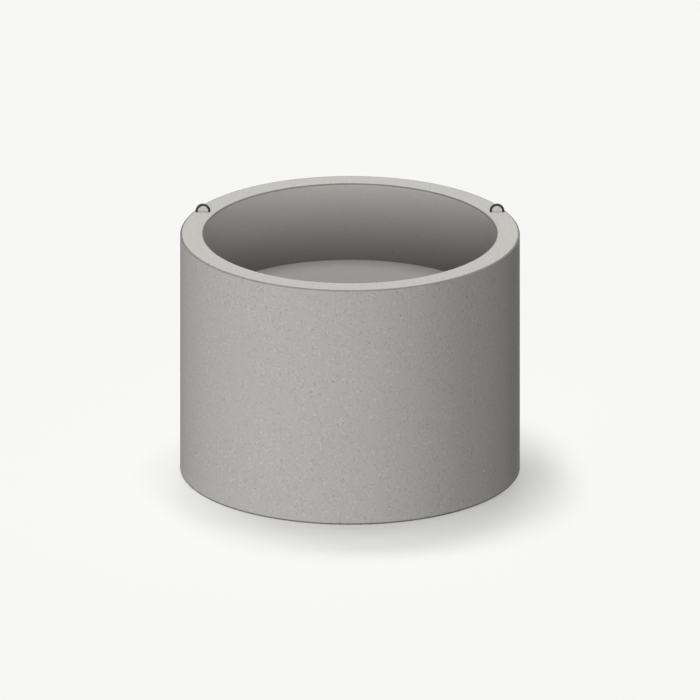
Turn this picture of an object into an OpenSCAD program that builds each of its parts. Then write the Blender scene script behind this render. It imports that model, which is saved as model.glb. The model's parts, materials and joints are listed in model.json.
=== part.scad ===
// Concrete manhole ring with base.
// One round casting, a wall standing on a solid base, with two steel lifting loops cast into
// its rim. Millimetres, +Z up. The origin is on the ground at the centre of the ring, and the
// loops stand left and right of it (-X and +X), behind the centre line (+Y).

/* [Casting] */
// Inside diameter of the chamber
inner_d = 1000; // [700:50:2000]
// Thickness of the ring's wall
wall = 80; // [70:5:150]
// Height of the casting, from the ground to the rim
height = 800; // [640:10:1200]
// Thickness of the base, from the ground to the chamber's floor
base_t = 540; // [100:10:600]
// Chamfer on the rim's two edges and on the foot's outer edge
arris = 4; // [1:0.5:12]

/* [Lifting loops] */
// Diameter of the steel bar
loop_bar = 8; // [6:0.5:14]
// Distance between the two legs of a loop, from centre to centre
loop_span = 43; // [30:1:50]
// Height of a loop's top above the rim
loop_rise = 28.5; // [20:0.5:60]
// Depth of the legs in the concrete
loop_embed = 150; // [60:5:300]
// Distance of the loops behind the ring's centre line
loop_back = 215; // [0:5:250]
// Concrete between a loop's outer leg and the outside of the ring
loop_cover = 10; // [5:1:20]

/* [Hidden] */
$fn = 128;

inner_r = inner_d / 2;
outer_r = inner_r + wall;

// The outer leg keeps its cover, and the loop lies across the ring, parallel to X.
outer_leg_r = outer_r - loop_cover - loop_bar / 2;
outer_leg_x = sqrt(outer_leg_r * outer_leg_r - loop_back * loop_back);
loop_x = outer_leg_x - loop_span / 2;

// The arch springs from the legs at this height, and the legs end this far down.
arch_r = loop_span / 2;
arch_z = height + loop_rise - loop_bar / 2 - arch_r;
leg_end_z = height - loop_embed;

// Bent bar of one loop: two straight legs joined by a half-round arch.
module bent_bar(side) {
    translate([side * loop_x, loop_back, 0]) {
        translate([0, 0, arch_z])
            rotate([90, 0, 0])
                rotate_extrude(angle = 180)
                    translate([arch_r, 0])
                        circle(d = loop_bar);
        for (leg = [-1, 1])
            translate([leg * arch_r, 0, leg_end_z])
                cylinder(d = loop_bar, h = arch_z - leg_end_z);
    }
}

// Half section of the casting, turned about the ring's axis.
module casting_section() {
    polygon([
        [0, 0],
        [outer_r - arris, 0],
        [outer_r, arris],
        [outer_r, height - arris],
        [outer_r - arris, height],
        [inner_r + arris, height],
        [inner_r, height - arris],
        [inner_r, base_t],
        [0, base_t],
    ]);
}

// Wall and base in one casting, with the sockets that the loops' legs fill.
module concrete_ring() {
    color([0.66, 0.65, 0.63])
        difference() {
            rotate_extrude()
                casting_section();
            bent_bar(-1);
            bent_bar(1);
        }
}

module lifting_loop_left() {
    color([0.24, 0.24, 0.23])
        bent_bar(-1);
}

module lifting_loop_right() {
    color([0.24, 0.24, 0.23])
        bent_bar(1);
}

concrete_ring();
lifting_loop_left();
lifting_loop_right();
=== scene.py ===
"""Concrete manhole ring with base: the looks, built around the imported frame."""

import json
import math
import random

import bpy
from bpy.props import FloatProperty, FloatVectorProperty, IntProperty, PointerProperty
from mathutils import Matrix, Vector


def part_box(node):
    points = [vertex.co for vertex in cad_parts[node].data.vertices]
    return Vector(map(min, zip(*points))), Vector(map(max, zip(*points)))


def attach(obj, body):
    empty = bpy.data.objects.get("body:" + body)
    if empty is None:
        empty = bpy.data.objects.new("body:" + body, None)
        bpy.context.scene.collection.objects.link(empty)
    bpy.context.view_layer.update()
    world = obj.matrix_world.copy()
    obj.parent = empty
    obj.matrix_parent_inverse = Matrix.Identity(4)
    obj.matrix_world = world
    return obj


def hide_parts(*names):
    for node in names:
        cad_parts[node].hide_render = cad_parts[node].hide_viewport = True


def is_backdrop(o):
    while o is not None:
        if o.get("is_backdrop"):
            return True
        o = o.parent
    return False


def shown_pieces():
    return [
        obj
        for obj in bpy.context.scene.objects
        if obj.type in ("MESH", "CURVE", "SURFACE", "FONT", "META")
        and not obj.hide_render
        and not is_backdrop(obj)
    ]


bl_info = {
    "name": "Concrete manhole ring with base",
    "version": (1, 0, 0),
    "blender": (4, 5, 0),
    "location": "3D View > Sidebar > Manhole Ring",
    "description": "Casts a round concrete manhole ring with its base and two steel lifting loops",
    "category": "Object",
}

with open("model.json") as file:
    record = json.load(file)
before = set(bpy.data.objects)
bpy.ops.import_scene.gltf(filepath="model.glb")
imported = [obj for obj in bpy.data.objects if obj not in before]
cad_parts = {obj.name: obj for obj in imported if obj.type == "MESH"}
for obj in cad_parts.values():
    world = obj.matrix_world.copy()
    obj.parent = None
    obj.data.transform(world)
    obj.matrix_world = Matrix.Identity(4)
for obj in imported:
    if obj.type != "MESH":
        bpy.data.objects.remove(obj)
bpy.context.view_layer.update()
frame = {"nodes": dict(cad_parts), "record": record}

RING = "concrete_ring"
LOOPS = ("lifting_loop_left", "lifting_loop_right")
# How near a point counts as on an edge or at a level, in metres.
ON_EDGE = 0.0005


# --- sizes read from the frame, in metres ------------------------------------------------------


def radius(point):
    """Distance from the ring's axis."""
    return math.hypot(point[0], point[1])


def off_circle(point, circle):
    """Distance from a level circle round the ring's axis, given by its radius and height."""
    return math.hypot(radius(point) - circle[0], point.z - circle[1])


def ring_sizes():
    """The casting's radius outside and inside, its two levels and the size of its arrises."""
    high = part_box(RING)[1]
    rim_top = next(mount for mount in frame["record"]["mounts"] if mount["name"] == "rim_top")
    inner = 2 * abs(rim_top["pos_m"][1]) - high.x
    corners = frame["nodes"][RING].data.vertices
    bore = [corner.co.z for corner in corners if abs(radius(corner.co) - inner) < ON_EDGE]
    return high.x, inner, high.z, min(bore), high.z - max(bore)


def loop_sizes(name):
    """One lifting loop's middle, the radius of its bar and of its arch, and its lower end."""
    low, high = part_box(name)
    middle = Vector(((low.x + high.x) / 2, (low.y + high.y) / 2, 0))
    bar = (high.y - low.y) / 2
    arch = (high.x - low.x) / 2 - bar
    return middle, bar, arch, low.z


OUTER, INNER, RIM, FLOOR, ARRIS = ring_sizes()


# --- what a user would change ------------------------------------------------------------------


class CastingSettings(bpy.types.PropertyGroup):
    """Sizes of the fine relief on the casting."""

    segments: IntProperty(
        name="Segments", description="Flats round the casting", default=720, min=96, max=720
    )
    edge_wear: FloatProperty(
        name="Edge wear",
        description="Deepest hollow along the arrises",
        default=0.002,
        min=0,
        max=0.01,
        unit="LENGTH",
    )
    bugholes: IntProperty(
        name="Bugholes", description="Air voids left by the mould", default=240, min=0, max=600
    )
    bughole_size: FloatProperty(
        name="Bughole size",
        description="Width of the widest air void",
        default=0.0045,
        min=0.001,
        max=0.02,
        unit="LENGTH",
    )


class FinishSettings(bpy.types.PropertyGroup):
    """Colours of the concrete's faces and of the steel."""

    mould_face: FloatVectorProperty(
        name="Mould face",
        description="Outside of the wall",
        default=(0.50, 0.492, 0.468),
        subtype="COLOR",
    )
    trowelled: FloatVectorProperty(
        name="Trowelled rim",
        description="Top of the rim",
        default=(0.55, 0.543, 0.513),
        subtype="COLOR",
    )
    chamber: FloatVectorProperty(
        name="Chamber wall",
        description="Inside of the wall",
        default=(0.58, 0.571, 0.543),
        subtype="COLOR",
    )
    # The chamber floor's colour holds painted shade of the deep chamber, darker than the rest of
    # the casting.
    chamber_floor_shaded: FloatVectorProperty(
        name="Chamber floor",
        description="Top of the base",
        default=(0.304, 0.30, 0.286),
        subtype="COLOR",
    )
    steel: FloatVectorProperty(
        name="Bar steel",
        description="Mill scale on the loops",
        default=(0.045, 0.045, 0.042),
        subtype="COLOR",
    )


# Height of a level circle in the view, as a share of its width.
CIRCLE_FLATNESS = 0.3385


class StudioSettings(bpy.types.PropertyGroup):
    """Floor, light and camera."""

    floor_colour: FloatVectorProperty(
        name="Floor colour",
        description="Plain pale floor",
        default=(0.93, 0.93, 0.913),
        subtype="COLOR",
    )
    ambient: FloatProperty(
        name="Ambient", description="Light from all round", default=0.112, min=0, max=2
    )
    view_rise: FloatProperty(
        name="View rise",
        description="Angle that the camera looks down at",
        default=math.atan(CIRCLE_FLATNESS),
        subtype="ANGLE",
    )
    picture_width: FloatProperty(
        name="Picture width",
        description="Width that the camera takes in",
        default=2.390,
        unit="LENGTH",
    )
    aim_height: FloatProperty(
        name="Aim height",
        description="Height at the picture's centre",
        default=0.4012,
        unit="LENGTH",
    )


# --- modelling helpers -------------------------------------------------------------------------


def choose(*parts):
    """Leaves only these objects selected, with the first of them active, in object mode."""
    if bpy.context.object and bpy.context.object.mode != "OBJECT":
        bpy.ops.object.mode_set(mode="OBJECT")
    bpy.ops.object.select_all(action="DESELECT")
    for part in parts:
        part.select_set(True)
    if parts:
        bpy.context.view_layer.objects.active = parts[0]


def pick(part, kind, wanted):
    """In edit mode, selects the faces or edges of part for which wanted(item) is true."""
    bpy.ops.mesh.select_mode(type=kind)
    bpy.ops.mesh.select_all(action="DESELECT")
    bpy.ops.object.mode_set(mode="OBJECT")
    items = part.data.polygons if kind == "FACE" else part.data.edges
    for item in items:
        item.select = wanted(item)
    bpy.ops.object.mode_set(mode="EDIT")


def apply_modifier(part, name):
    """Applies one modifier of part."""
    choose(part)
    bpy.ops.object.modifier_apply(modifier=name)


def settle(part):
    """Puts the piece's place into its mesh, with its object at the origin."""
    choose(part)
    bpy.ops.object.transform_apply(location=True, rotation=True, scale=True)


def join_tools(tools, name):
    """Joins cutting tools into one."""
    choose(*tools)
    bpy.ops.object.join()
    joined = bpy.context.object
    joined.name = joined.data.name = name
    settle(joined)
    return joined


# --- shader helpers ----------------------------------------------------------------------------


def node(tree, kind, place, inputs=None, **settings):
    """Adds a node, sets it, and links or fills the inputs given."""
    made = tree.nodes.new(kind)
    made.location = place
    for name, value in settings.items():
        setattr(made, name, value)
    for name, value in (inputs or {}).items():
        if isinstance(value, bpy.types.NodeSocket):
            tree.links.new(value, made.inputs[name])
        else:
            made.inputs[name].default_value = value
    return made


def new_group(name, inputs, outputs):
    """A shader node group with named sockets: its tree, its inputs and its outputs."""
    tree = bpy.data.node_groups.new(name, "ShaderNodeTree")
    for label, kind, default in inputs:
        socket = tree.interface.new_socket(label, in_out="INPUT", socket_type=kind)
        if default is not None:
            socket.default_value = default
    for label in outputs:
        tree.interface.new_socket(label, in_out="OUTPUT", socket_type="NodeSocketFloat")
    start = node(tree, "NodeGroupInput", (-900, 0))
    end = node(tree, "NodeGroupOutput", (900, 0))
    return tree, start.outputs, end.inputs


def place_group(tree, name, build, location, inputs):
    """Places the shared group of that name, built the first time, and returns its outputs."""
    group = bpy.data.node_groups.get(name) or build(name)
    return node(tree, "ShaderNodeGroup", location, inputs, node_tree=group).outputs


def noise(tree, place, vector, scale, detail, roughness):
    """A Noise texture's value, with about scale blotches to a metre."""
    made = node(
        tree, "ShaderNodeTexNoise", place,
        {"Vector": vector, "Scale": scale, "Detail": detail, "Roughness": roughness},
    )
    return made.outputs["Fac"]


def calc(tree, operation, place, *values):
    """A Math node's output."""
    made = node(tree, "ShaderNodeMath", place, dict(enumerate(values)), operation=operation)
    return made.outputs[0]


def ramp(tree, place, value, start, end, low=0.0, high=1.0):
    """A smooth step from low to high as value goes from start to end."""
    made = node(
        tree, "ShaderNodeMapRange", place,
        {"Value": value, "From Min": start, "From Max": end, "To Min": low, "To Max": high},
        interpolation_type="SMOOTHSTEP",
    )
    return made.outputs["Result"]


def scale_colour(tree, place, colour, factor):
    """A colour multiplied by a number."""
    made = node(
        tree, "ShaderNodeVectorMath", place, {0: colour, "Scale": factor}, operation="SCALE"
    )
    return made.outputs["Vector"]


def bump(tree, place, strength, depth, height):
    """The normal of a relief that is depth metres deep."""
    made = node(
        tree, "ShaderNodeBump", place,
        {"Strength": strength, "Distance": depth, "Height": height},
    )
    return made.outputs["Normal"]


def new_material(name):
    """A material with its tree, its shader's inputs and its Object coordinates."""
    made = bpy.data.materials.new(name)
    made.use_nodes = True
    tree = made.node_tree
    place = node(tree, "ShaderNodeTexCoord", (-1500, 0)).outputs["Object"]
    return made, tree, tree.nodes["Principled BSDF"].inputs, place


# --- effects that the finishes share -----------------------------------------------------------


# Each noise as its blotches to a metre, its detail and its roughness.
GRAINS = (130.0, 1.5, 0.6)
DUST = (420.0, 5.0, 0.75)
BARE_PATCHES = (48.0, 1.0, 0.5)
CLOUDS = (3.2, 4.0, 0.5)
NOTCHES = (70.0, 3.0, 0.5)
RUST_PATCHES = (110.0, 4.0, 0.7)
NOISE_MIDDLE = 0.5

# The dust's strength against the grains'.
DUST_STRENGTH = 0.9
# Where a patch of bare sand begins and is complete, and the grain's strength outside and in it.
BARE_EDGE = (0.38, 0.62)
BARE_STRENGTH = (0.15, 1.6)


def build_sand(name):
    """Sand in cement paste: grains and dust, laid bare in patches, and a faint cloudiness."""
    tree, given, out = new_group(
        name,
        [
            ("Vector", "NodeSocketVector", None),
            ("Contrast", "NodeSocketFloat", 0.05),
            ("Clouding", "NodeSocketFloat", 0.02),
        ],
        ["Shade", "Height"],
    )
    grain = noise(tree, (-600, 300), given["Vector"], *GRAINS)
    dust = noise(tree, (-600, 60), given["Vector"], *DUST)
    cloud = noise(tree, (-600, -180), given["Vector"], *CLOUDS)
    bare = noise(tree, (-600, -420), given["Vector"], *BARE_PATCHES)
    shown = ramp(tree, (-350, -420), bare, *BARE_EDGE, *BARE_STRENGTH)
    coarse = calc(tree, "SUBTRACT", (-350, 300), grain, NOISE_MIDDLE)
    fine = calc(tree, "SUBTRACT", (-350, 60), dust, NOISE_MIDDLE)
    broad = calc(tree, "SUBTRACT", (-350, -180), cloud, NOISE_MIDDLE)
    even = calc(tree, "MULTIPLY_ADD", (-100, 200), fine, DUST_STRENGTH, coarse)
    mixed = calc(tree, "MULTIPLY", (20, 100), even, shown)
    grained = calc(tree, "MULTIPLY_ADD", (150, 200), mixed, given["Contrast"], 1.0)
    shade = calc(tree, "MULTIPLY_ADD", (400, 100), broad, given["Clouding"], grained)
    tree.links.new(shade, out["Shade"])
    tree.links.new(mixed, out["Height"])
    return tree


# Distance between pinholes in metres, and their least radius and its spread as shares of that.
PORE_SPACING = 0.012
PORE_RADIUS = 0.10
PORE_SPREAD = 0.16


def build_pores(name):
    """Pinholes in the paste: a mask of small pits, in only some of the cells, which the finishes
    sink and darken with painted shade.
    """
    tree, given, out = new_group(
        name,
        [
            ("Vector", "NodeSocketVector", None),
            ("Spacing", "NodeSocketFloat", PORE_SPACING),
            ("Share", "NodeSocketFloat", 0.3),
        ],
        ["Mask"],
    )
    per_metre = calc(tree, "DIVIDE", (-650, -100), 1.0, given["Spacing"])
    cells = node(
        tree, "ShaderNodeTexVoronoi", (-400, 100),
        {"Vector": given["Vector"], "Scale": per_metre},
    )
    draws = node(tree, "ShaderNodeSeparateColor", (-150, -50), {"Color": cells.outputs["Color"]})
    chosen = calc(tree, "LESS_THAN", (50, -50), draws.outputs["Red"], given["Share"])
    width = calc(
        tree, "MULTIPLY_ADD", (50, -220), draws.outputs["Green"], PORE_SPREAD, PORE_RADIUS
    )
    inside = ramp(tree, (300, 150), cells.outputs["Distance"], width, 0.0)
    tree.links.new(calc(tree, "MULTIPLY", (550, 50), chosen, inside), out["Mask"])
    return tree


# How far a dark line's notches reach past its width, and the share of it that is fully dark.
NOTCH_REACH = 0.8
FULLY_DARK = 0.55


def build_edge_line(name):
    """Mask of a narrow ragged band along a round edge, given by its radius and height."""
    tree, given, out = new_group(
        name,
        [
            ("Vector", "NodeSocketVector", None),
            ("Radius", "NodeSocketFloat", OUTER),
            ("Height", "NodeSocketFloat", RIM),
            ("Width", "NodeSocketFloat", ARRIS),
        ],
        ["Mask"],
    )
    split = node(tree, "ShaderNodeSeparateXYZ", (-650, 0), {0: given["Vector"]}).outputs
    flat = node(tree, "ShaderNodeCombineXYZ", (-450, 100), {0: split["X"], 1: split["Y"]})
    from_axis = node(
        tree, "ShaderNodeVectorMath", (-250, 100), {0: flat.outputs[0]}, operation="LENGTH"
    )
    across = calc(tree, "SUBTRACT", (-50, 100), from_axis.outputs["Value"], given["Radius"])
    above = calc(tree, "SUBTRACT", (-50, -100), split["Z"], given["Height"])
    offset = node(tree, "ShaderNodeCombineXYZ", (150, 0), {0: across, 1: above})
    away = node(
        tree, "ShaderNodeVectorMath", (330, 0), {0: offset.outputs[0]}, operation="LENGTH"
    )
    notches = noise(tree, (150, -250), given["Vector"], *NOTCHES)
    reach = calc(tree, "MULTIPLY", (400, -250), notches, given["Width"])
    edge = calc(tree, "MULTIPLY_ADD", (560, -200), reach, NOTCH_REACH, given["Width"])
    start = calc(tree, "MULTIPLY", (560, -350), edge, FULLY_DARK)
    tree.links.new(ramp(tree, (720, 0), away.outputs["Value"], edge, start), out["Mask"])
    return tree


# --- finishes ----------------------------------------------------------------------------------


# A pinhole's painted shade, and its depth against the grain's.
PORE_PAINTED_SHADE = 0.6
PORE_DEPTH = 3.0
# The grain's relief in metres, the strength of its bump, and what it adds to the roughness.
SAND_RELIEF = 0.0006
SAND_BUMP = 0.6
SAND_ROUGHNESS = 0.25
CONCRETE_GLOSS = 0.25


def concrete(name, colour, texture, edges, painted_shade=None):
    """One finish of the casting's concrete.

    texture is its sand's contrast, its clouding, its share of pinholes and its roughness, and
    edges are the radius, height, width and darkening of each dark line along an arris on it.
    """
    made, tree, shader, place = new_material(name)
    contrast, clouding, pore_share, roughness = texture
    sand = place_group(
        tree, "sand_and_paste", build_sand, (-1200, 300),
        {"Vector": place, "Contrast": contrast, "Clouding": clouding},
    )
    pores = place_group(
        tree, "pinholes", build_pores, (-1200, 50), {"Vector": place, "Share": pore_share}
    )["Mask"]
    # Painted shade in the pinholes.
    pores_shaded = calc(tree, "MULTIPLY_ADD", (-1000, 50), pores, -PORE_PAINTED_SHADE, 1.0)
    shade = calc(tree, "MULTIPLY", (-900, 200), sand["Shade"], pores_shaded)
    for index, (edge_radius, height, width, darkening) in enumerate(edges):
        line = place_group(
            tree, "arris_line", build_edge_line, (-1200, -200 - 250 * index),
            {"Vector": place, "Radius": edge_radius, "Height": height, "Width": width},
        )["Mask"]
        # Darkens a narrow band along the arris.
        unlined = calc(tree, "MULTIPLY_ADD", (-900, -200 - 250 * index), line, -darkening, 1.0)
        shade = calc(tree, "MULTIPLY", (-700, 100 - 150 * index), shade, unlined)
    # Painted shade on the chamber wall, darker towards the floor.
    if painted_shade:
        shade = calc(tree, "MULTIPLY", (-450, 100), shade, painted_shade(tree, place))
    flat = node(tree, "ShaderNodeRGB", (-450, 350)).outputs[0]
    flat.default_value = (*colour, 1)
    tree.links.new(scale_colour(tree, (-200, 250), flat, shade), shader["Base Color"])
    relief = calc(tree, "MULTIPLY_ADD", (-450, -350), pores, -PORE_DEPTH, sand["Height"])
    normal = bump(tree, (-200, -300), SAND_BUMP, SAND_RELIEF, relief)
    tree.links.new(normal, shader["Normal"])
    polish = calc(
        tree, "MULTIPLY_ADD", (-200, 0), sand["Height"], SAND_ROUGHNESS, roughness
    )
    tree.links.new(polish, shader["Roughness"])
    shader["Specular IOR Level"].default_value = CONCRETE_GLOSS
    return made


# Painted shade on the chamber wall, darker towards the floor: how late it lifts towards the rim,
# its shade at the floor, and what the rim adds to it.
SHADE_LIFT = 1.45
SHADE_AT_FLOOR = 0.265
SHADE_ADDED_AT_RIM = 0.83


def painted_chamber_shade(tree, place):
    """Painted shade on the chamber wall: dark at the floor, lifting towards the rim."""
    level = node(tree, "ShaderNodeSeparateXYZ", (-1200, 600), {0: place}).outputs["Z"]
    height = node(
        tree, "ShaderNodeMapRange", (-1000, 600),
        {"Value": level, "From Min": FLOOR, "From Max": RIM},
    )
    shade_lift = calc(tree, "POWER", (-800, 600), height.outputs["Result"], SHADE_LIFT)
    return calc(tree, "MULTIPLY_ADD", (-620, 600), shade_lift, SHADE_ADDED_AT_RIM, SHADE_AT_FLOOR)


RUST = (0.09, 0.045, 0.022)
# Where a patch of rust begins and is complete, and how much of the scale it hides there.
RUST_EDGE = (0.55, 0.72)
RUST_COVER = 0.45
# Contrast of the scale's grain, the strength of its bump, and its relief in metres.
SCALE_CONTRAST = 0.5
SCALE_BUMP = 0.5
SCALE_RELIEF = 0.0002
# Roughness and metalness of the clean scale, and what full rust adds to them.
SCALE_ROUGHNESS = (0.55, 0.5)
SCALE_METAL = (0.4, -0.8)


def mill_scale(name, colour):
    """Dull dark scale on hot-rolled bar, with a little brown rust in patches."""
    made, tree, shader, place = new_material(name)
    sand = place_group(
        tree, "sand_and_paste", build_sand, (-1200, 200),
        {"Vector": place, "Contrast": SCALE_CONTRAST},
    )
    patches = noise(tree, (-1200, -150), place, *RUST_PATCHES)
    rusty = ramp(tree, (-900, -150), patches, *RUST_EDGE, 0.0, RUST_COVER)
    mixed = node(
        tree, "ShaderNodeMix", (-600, 100),
        {"Factor": rusty, "A": (*colour, 1), "B": (*RUST, 1)}, data_type="RGBA",
    ).outputs["Result"]
    shaded = scale_colour(tree, (-300, 100), mixed, sand["Shade"])
    tree.links.new(shaded, shader["Base Color"])
    normal = bump(tree, (-300, -300), SCALE_BUMP, SCALE_RELIEF, sand["Height"])
    tree.links.new(normal, shader["Normal"])
    for socket, (unlined, by_rust), level in (
        ("Roughness", SCALE_ROUGHNESS, -100),
        ("Metallic", SCALE_METAL, -250),
    ):
        value = calc(tree, "MULTIPLY_ADD", (-600, level), rusty, by_rust, unlined)
        tree.links.new(value, shader[socket])
    return made


# --- the casting -------------------------------------------------------------------------------


# A face points up when the upward part of its normal is more than this.
UPWARD = 0.9
# Faces across a rounded arris, and the bevel profile that makes it round.
ARRIS_STEPS = 4
ROUND = 0.5

# Size of the wear's blotches in metres, their detail, and the depth at which wear begins.
WEAR_PATCH = 0.035
WEAR_DETAIL = 4
UNWORN = 0.01
# Depth of a rounded arris's middle, from 0 at its sides to 1 at the sharp corner that it replaces.
ROUNDED_DEPTH = 2 - math.sqrt(2)

# Start of the random draws for the bugholes, and the share of them on the inside.
BUGHOLE_DRAW = 29
INSIDE_SHARE = 0.22
# A bughole's least width, as a share of the widest one's, and how rare the wide ones are.
SMALL_BUGHOLE = 0.25
WIDE_IS_RARE = 3
# Clear height between a bughole and the arrises, in arrises, and the least distance between
# two bugholes' middles, in widest bugholes.
ARRIS_MARGIN = 3
BUGHOLE_GAP = 2
# The bead that cuts a bughole: its sides and rings, its half-depth as a share of its width,
# and its least height as a share of its width.
BEAD_SIDES = 10
BEAD_RINGS = 6
BEAD_DEPTH = 0.3
SQUEEZE = 0.6

# Sides of a socket's cutter, its play round the bar and its height above the rim, in metres.
SOCKET_SIDES = 48
SOCKET_PLAY = 0.00015
SOCKET_RISE = 0.01

# Degrees between two faces under which they are shaded as one round face, and how strongly
# the larger faces set the shading.
SMOOTH_ANGLE = 35
LARGE_FACES = 100

# Contrast of the sand, clouding, share of pinholes, and roughness.
MOULD_TEXTURE = (0.43, 0.03, 0.55, 0.86)
TROWEL_TEXTURE = (0.40, 0.03, 0.55, 0.8)
WALL_TEXTURE = (0.1, 0.03, 0.15, 0.88)
SCREED_TEXTURE = (0.1, 0.04, 0.15, 0.88)
# Radius and height of the middle of each rounded arris.
OUTER_RIM = (OUTER - ARRIS / 2, RIM - ARRIS / 2)
INNER_RIM = (INNER + ARRIS / 2, RIM - ARRIS / 2)
FOOT = (OUTER - ARRIS / 2, ARRIS / 2)
# The dark lines along the arrises on the outside and on the rim, as radius, height, width and
# darkening.
WALL_LINES = [(*OUTER_RIM, 0.6 * ARRIS, 0.5), (*FOOT, ARRIS, 0.55)]
RIM_LINES = [(*OUTER_RIM, 1.1 * ARRIS, 0.7), (*INNER_RIM, 0.8 * ARRIS, 0.6)]


class MANHOLE_OT_casting(bpy.types.Operator):
    """Cast the ring's wall and base in one piece"""

    bl_idname = "manhole.casting"
    bl_label = "Cast ring and base"

    def execute(self, context):
        settings = context.scene.manhole_casting
        part = self.cast_blank(settings.segments)
        self.wear_arrises(part, settings.edge_wear)
        self.cut(part, self.bugholes(settings.bugholes, settings.bughole_size))
        self.cut(part, self.sockets())
        self.finish(part, context.scene.manhole_finish)
        self.shade(part)
        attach(part, "root")
        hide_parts(RING)
        return {"FINISHED"}

    def arrises(self):
        """Radius and height of the foot's outer edge and of the rim's two edges, while sharp."""
        return (OUTER, 0), (OUTER, RIM), (INNER, RIM)

    def cast_blank(self, segments):
        """The plain casting: an upright drum, hollowed to the floor, with rounded arrises."""
        choose()
        bpy.ops.mesh.primitive_cylinder_add(
            vertices=segments,
            radius=OUTER,
            depth=RIM,
            end_fill_type="NGON",
            location=(0, 0, RIM / 2),
        )
        part = bpy.context.object
        part.name = part.data.name = "ring_casting"
        settle(part)
        bpy.ops.object.mode_set(mode="EDIT")
        pick(part, "FACE", lambda face: face.normal.z > UPWARD)
        bpy.ops.mesh.inset(thickness=OUTER - INNER)
        down = (0, 0, FLOOR - RIM)
        bpy.ops.mesh.extrude_region_move(TRANSFORM_OT_translate={"value": down})
        for where in self.arrises():
            pick(part, "EDGE", lambda edge: all(
                off_circle(part.data.vertices[i].co, where) < ON_EDGE for i in edge.vertices
            ))
            bpy.ops.mesh.bevel(offset=ARRIS, segments=ARRIS_STEPS, profile=ROUND, affect="EDGES")
        bpy.ops.object.mode_set(mode="OBJECT")
        return part

    def wear_arrises(self, part, hollow):
        """Rubs shallow hollows along the arrises."""
        worn = part.vertex_groups.new(name="worn")
        for corner in part.data.vertices:
            depth = 1 - min(off_circle(corner.co, where) for where in self.arrises()) / ARRIS
            if depth > UNWORN:
                worn.add([corner.index], min(1, depth / ROUNDED_DEPTH), "REPLACE")
        grit = bpy.data.textures.new("arris_wear", "CLOUDS")
        grit.noise_scale = WEAR_PATCH
        grit.noise_depth = WEAR_DETAIL
        rub = part.modifiers.new("wear", "DISPLACE")
        rub.texture = grit
        rub.texture_coords = "LOCAL"
        rub.vertex_group = worn.name
        rub.strength = hollow
        rub.mid_level = 1
        apply_modifier(part, rub.name)
        part.vertex_groups.clear()

    def bugholes(self, count, widest):
        """One cutter of many flat beads, set into both faces of the wall."""
        draw = random.Random(BUGHOLE_DRAW)
        choose()
        bpy.ops.mesh.primitive_uv_sphere_add(
            segments=BEAD_SIDES, ring_count=BEAD_RINGS, radius=1
        )
        bead = bpy.context.object
        beads = []
        places = []
        while len(beads) < count:
            wall, low = (INNER, FLOOR) if draw.random() < INSIDE_SHARE else (OUTER, 0)
            turn = draw.uniform(0, 2 * math.pi)
            level = draw.uniform(low + ARRIS_MARGIN * ARRIS, RIM - ARRIS_MARGIN * ARRIS)
            centre = Vector((wall * math.cos(turn), wall * math.sin(turn), level))
            width = widest * (SMALL_BUGHOLE + (1 - SMALL_BUGHOLE) * draw.random() ** WIDE_IS_RARE)
            if any((centre - other).length < BUGHOLE_GAP * widest for other in places):
                continue
            places.append(centre)
            half = 0.5 * width
            flat = Matrix.Diagonal((BEAD_DEPTH * width, half, half * draw.uniform(SQUEEZE, 1), 1))
            made = bead.copy()
            made.data = bead.data.copy()
            bpy.context.collection.objects.link(made)
            made.matrix_world = Matrix.Translation(centre) @ Matrix.Rotation(turn, 4, "Z") @ flat
            beads.append(made)
        cutter = join_tools(beads, "bughole_cutter")
        bpy.data.meshes.remove(bead.data)
        return cutter

    def sockets(self):
        """One cutter for the holes that the loops' legs fill."""
        top = RIM + SOCKET_RISE
        legs = []
        for name in LOOPS:
            middle, bar, arch, end = loop_sizes(name)
            for side in (-arch, arch):
                choose()
                bpy.ops.mesh.primitive_cylinder_add(
                    vertices=SOCKET_SIDES,
                    radius=bar + SOCKET_PLAY,
                    depth=top - end,
                    location=middle + Vector((side, 0, (top + end) / 2)),
                )
                legs.append(bpy.context.object)
        return join_tools(legs, "socket_cutter")

    def cut(self, part, tool):
        """Takes the tool's shape out of the casting and throws the tool away."""
        hole = part.modifiers.new("cut", "BOOLEAN")
        hole.operation = "DIFFERENCE"
        hole.solver = "EXACT"
        hole.object = tool
        apply_modifier(part, hole.name)
        bpy.data.meshes.remove(tool.data)

    def finish(self, part, colours):
        """Gives each face of the casting its finish."""
        finishes = (
            concrete("mould_face_concrete", colours.mould_face, MOULD_TEXTURE, WALL_LINES),
            concrete("trowelled_concrete", colours.trowelled, TROWEL_TEXTURE, RIM_LINES),
            # The chamber wall's colour carries painted shade, darker towards the floor.
            concrete("chamber_wall_concrete", colours.chamber, WALL_TEXTURE, [], painted_chamber_shade),
            # The chamber floor's colour holds painted shade of the deep chamber.
            concrete("chamber_floor_concrete", colours.chamber_floor_shaded, SCREED_TEXTURE, []),
        )
        for made in finishes:
            part.data.materials.append(made)
        mould_face, trowelled, chamber_wall, chamber_floor = range(len(finishes))
        for face in part.data.polygons:
            middle = face.center
            if radius(middle) > OUTER - ARRIS:
                face.material_index = mould_face
            elif middle.z > RIM - ARRIS:
                face.material_index = trowelled
            elif middle.z > FLOOR + ON_EDGE:
                face.material_index = chamber_wall
            elif middle.z > ON_EDGE:
                face.material_index = chamber_floor
            else:
                face.material_index = mould_face

    def shade(self, part):
        """Smooths the round faces and keeps the flat ones flat."""
        choose(part)
        bpy.ops.object.shade_smooth_by_angle(angle=math.radians(SMOOTH_ANGLE))
        even = part.modifiers.new("even", "WEIGHTED_NORMAL")
        even.keep_sharp = True
        even.weight = LARGE_FACES
        apply_modifier(part, even.name)


# --- the lifting loops -------------------------------------------------------------------------


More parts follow.
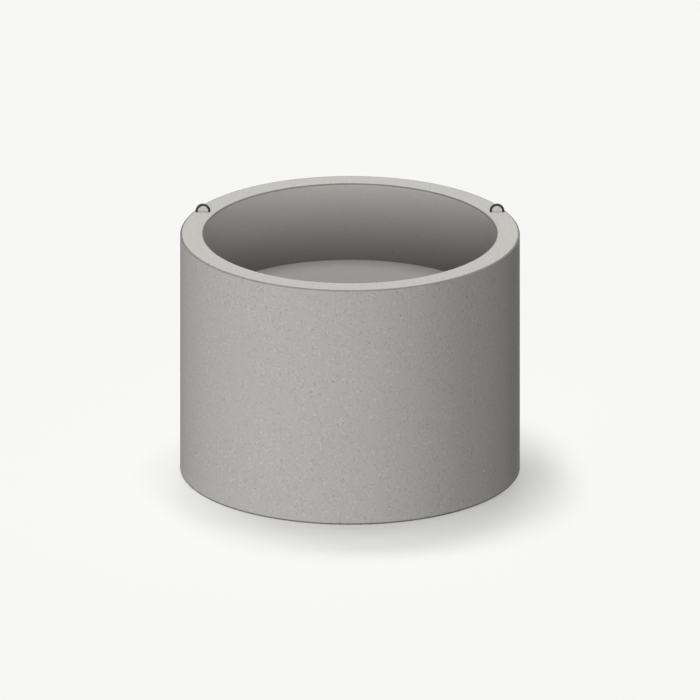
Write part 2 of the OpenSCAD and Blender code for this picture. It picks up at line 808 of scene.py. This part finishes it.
class MANHOLE_OT_loops(bpy.types.Operator):
    """Give the two steel lifting loops their mill scale"""

    bl_idname = "manhole.loops"
    bl_label = "Finish lifting loops"

    def execute(self, context):
        steel = mill_scale("mill_scale_steel", context.scene.manhole_finish.steel)
        for name in LOOPS:
            part = frame["nodes"][name]
            part.data.materials.clear()
            part.data.materials.append(steel)
        return {"FINISHED"}


# --- the stage ---------------------------------------------------------------------------------


# Azimuth (0 is on the camera's side and 90 to its right), elevation, strength and spread.
OBJECT_LIGHTS = {
    "key_light": (-52, -8, 1.33, 24),
    "front_light": (0, 30, 1.31, 40),
    "top_light": (0, 90, 2.14, 42),
    "back_light": (172, -5, 1.6, 24),
}
# Azimuth, elevation and share of the floor's light. The rest of it casts no shadow.
FLOOR_LIGHTS = {
    "floor_light_front": (-60, 80, 0.125),
    "floor_light_left": (-120, 76, 0.115),
    "floor_light_back_left": (-150, 68, 0.14),
    "floor_light_back": (-180, 68, 0.135),
    "floor_light_back_right": (-225, 80, 0.095),
}
FLOOR_LIGHT = 7.49
FLOOR_SPREAD = 12
# The floor's own colour as a share of the one that it shows under its lights.
FLOOR_SHADE = 0.4
# Side of the floor, and the camera's distance and reach, in metres.
FLOOR_SIZE = 120
CAMERA_DISTANCE = 6
CAMERA_REACH = 100


def add_object(name, data):
    """A new object of the scene that holds data."""
    made = bpy.data.objects.new(name, data)
    bpy.context.scene.collection.objects.link(made)
    return made


def add_sun(name, azimuth, elevation, strength, spread, receivers, shadow=True):
    """A soft light far away, with its angles in degrees."""
    lamp = bpy.data.lights.new(name, "SUN")
    lamp.energy = strength
    lamp.angle = math.radians(spread)
    lamp.use_shadow = shadow
    made = add_object(name, lamp)
    turn, rise = math.radians(azimuth), math.radians(elevation)
    level = math.cos(rise)
    towards = Vector((math.sin(turn) * level, -math.cos(turn) * level, math.sin(rise)))
    made.rotation_euler = towards.to_track_quat("Z", "Y").to_euler()
    made.light_linking.receiver_collection = receivers


class MANHOLE_OT_stage(bpy.types.Operator):
    """Lay the floor and set the light and the camera"""

    bl_idname = "manhole.stage"
    bl_label = "Set the stage"

    def execute(self, context):
        settings = context.scene.manhole_studio
        floor = self.lay_floor(settings.floor_colour)
        self.light_object()
        self.light_floor(floor)
        self.set_surroundings(context.scene, settings)
        self.set_camera(context.scene, settings)
        context.scene.view_settings.view_transform = "Standard"
        return {"FINISHED"}

    def lay_floor(self, colour):
        """A plain matt floor, which throws no light on the object."""
        choose()
        bpy.ops.mesh.primitive_plane_add(size=FLOOR_SIZE)
        floor = bpy.context.object
        floor.name = floor.data.name = "studio_floor"
        made = bpy.data.materials.new("studio_floor")
        made.use_nodes = True
        shader = made.node_tree.nodes["Principled BSDF"].inputs
        shader["Base Color"].default_value = (*(FLOOR_SHADE * part for part in colour), 1)
        shader["Roughness"].default_value = 1
        shader["Specular IOR Level"].default_value = 0
        floor.data.materials.append(made)
        floor.visible_diffuse = False
        floor.visible_glossy = False
        floor.visible_shadow = False
        floor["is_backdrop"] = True
        return floor

    def light_object(self):
        """Soft lights that only the object receives."""
        on_object = bpy.data.collections.new("lit_object")
        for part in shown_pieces():
            on_object.objects.link(part)
        for name, values in OBJECT_LIGHTS.items():
            add_sun(name, *values, on_object)

    def light_floor(self, floor):
        """Lights that only the floor receives: some cast the pale shadow and one is even."""
        on_floor = bpy.data.collections.new("lit_floor")
        on_floor.objects.link(floor)
        even = FLOOR_LIGHT
        for name, (azimuth, elevation, share) in FLOOR_LIGHTS.items():
            strength = share * FLOOR_LIGHT / math.sin(math.radians(elevation))
            add_sun(name, azimuth, elevation, strength, FLOOR_SPREAD, on_floor)
            even -= share * FLOOR_LIGHT
        add_sun("floor_even_light", 0, 90, even, FLOOR_SPREAD, on_floor, shadow=False)

    def set_surroundings(self, scene, settings):
        """A backdrop in the floor's colour, and faint light from all round."""
        world = bpy.data.worlds.new("studio")
        world.use_nodes = True
        scene.world = world
        tree = world.node_tree
        tree.nodes.clear()
        seen = node(
            tree, "ShaderNodeBackground", (0, 150), {"Color": (*settings.floor_colour, 1)}
        )
        lit = node(
            tree, "ShaderNodeBackground", (0, 0),
            {"Color": (1, 1, 1, 1), "Strength": settings.ambient},
        )
        path = node(tree, "ShaderNodeLightPath", (0, 400))
        mix = node(
            tree, "ShaderNodeMixShader", (250, 100),
            {0: path.outputs["Is Camera Ray"], 1: lit.outputs[0], 2: seen.outputs[0]},
        )
        node(tree, "ShaderNodeOutputWorld", (450, 100), {"Surface": mix.outputs[0]})

    def set_camera(self, scene, settings):
        """A parallel view that keeps heights at full scale, as on a drawing board."""
        rise = settings.view_rise
        back = Vector((0, -math.cos(rise), math.sin(rise)))
        board = Matrix.Identity(4)
        board.col[1].xyz = (0, 0, 1)
        board.col[2].xyz = back
        board.translation = Vector((0, 0, settings.aim_height)) + CAMERA_DISTANCE * back
        camera = add_object("camera", bpy.data.cameras.new("camera"))
        camera.data.type = "ORTHO"
        camera.data.ortho_scale = settings.picture_width
        camera.data.clip_end = CAMERA_REACH
        camera.parent = add_object("drawing_board", None)
        camera.matrix_parent_inverse = board
        scene.camera = camera


# --- panel and registration --------------------------------------------------------------------


class MANHOLE_PT_panel(bpy.types.Panel):
    """Lists the steps in order"""

    bl_label = "Manhole Ring"
    bl_idname = "MANHOLE_PT_panel"
    bl_space_type = "VIEW_3D"
    bl_region_type = "UI"
    bl_category = "Manhole Ring"

    def draw(self, context):
        for step in STEPS:
            self.layout.operator(step.bl_idname)
        for group in GROUPS:
            box = self.layout.box()
            for name in GROUPS[group].__annotations__:
                box.prop(getattr(context.scene, group), name)


GROUPS = {
    "manhole_casting": CastingSettings,
    "manhole_finish": FinishSettings,
    "manhole_studio": StudioSettings,
}
STEPS = (MANHOLE_OT_casting, MANHOLE_OT_loops, MANHOLE_OT_stage)


def register():
    """Makes the classes and the settings known."""
    for kind in (*GROUPS.values(), *STEPS, MANHOLE_PT_panel):
        bpy.utils.register_class(kind)
    for group, kind in GROUPS.items():
        setattr(bpy.types.Scene, group, PointerProperty(type=kind))


def unregister():
    """Takes the settings and the classes away again."""
    for group in GROUPS:
        delattr(bpy.types.Scene, group)
    for kind in (MANHOLE_PT_panel, *reversed(STEPS), *reversed(GROUPS.values())):
        bpy.utils.unregister_class(kind)


def main():
    """Makes the whole scene."""
    register()
    bpy.ops.manhole.casting()
    bpy.ops.manhole.loops()
    bpy.ops.manhole.stage()


if __name__ == "__main__":
    main()
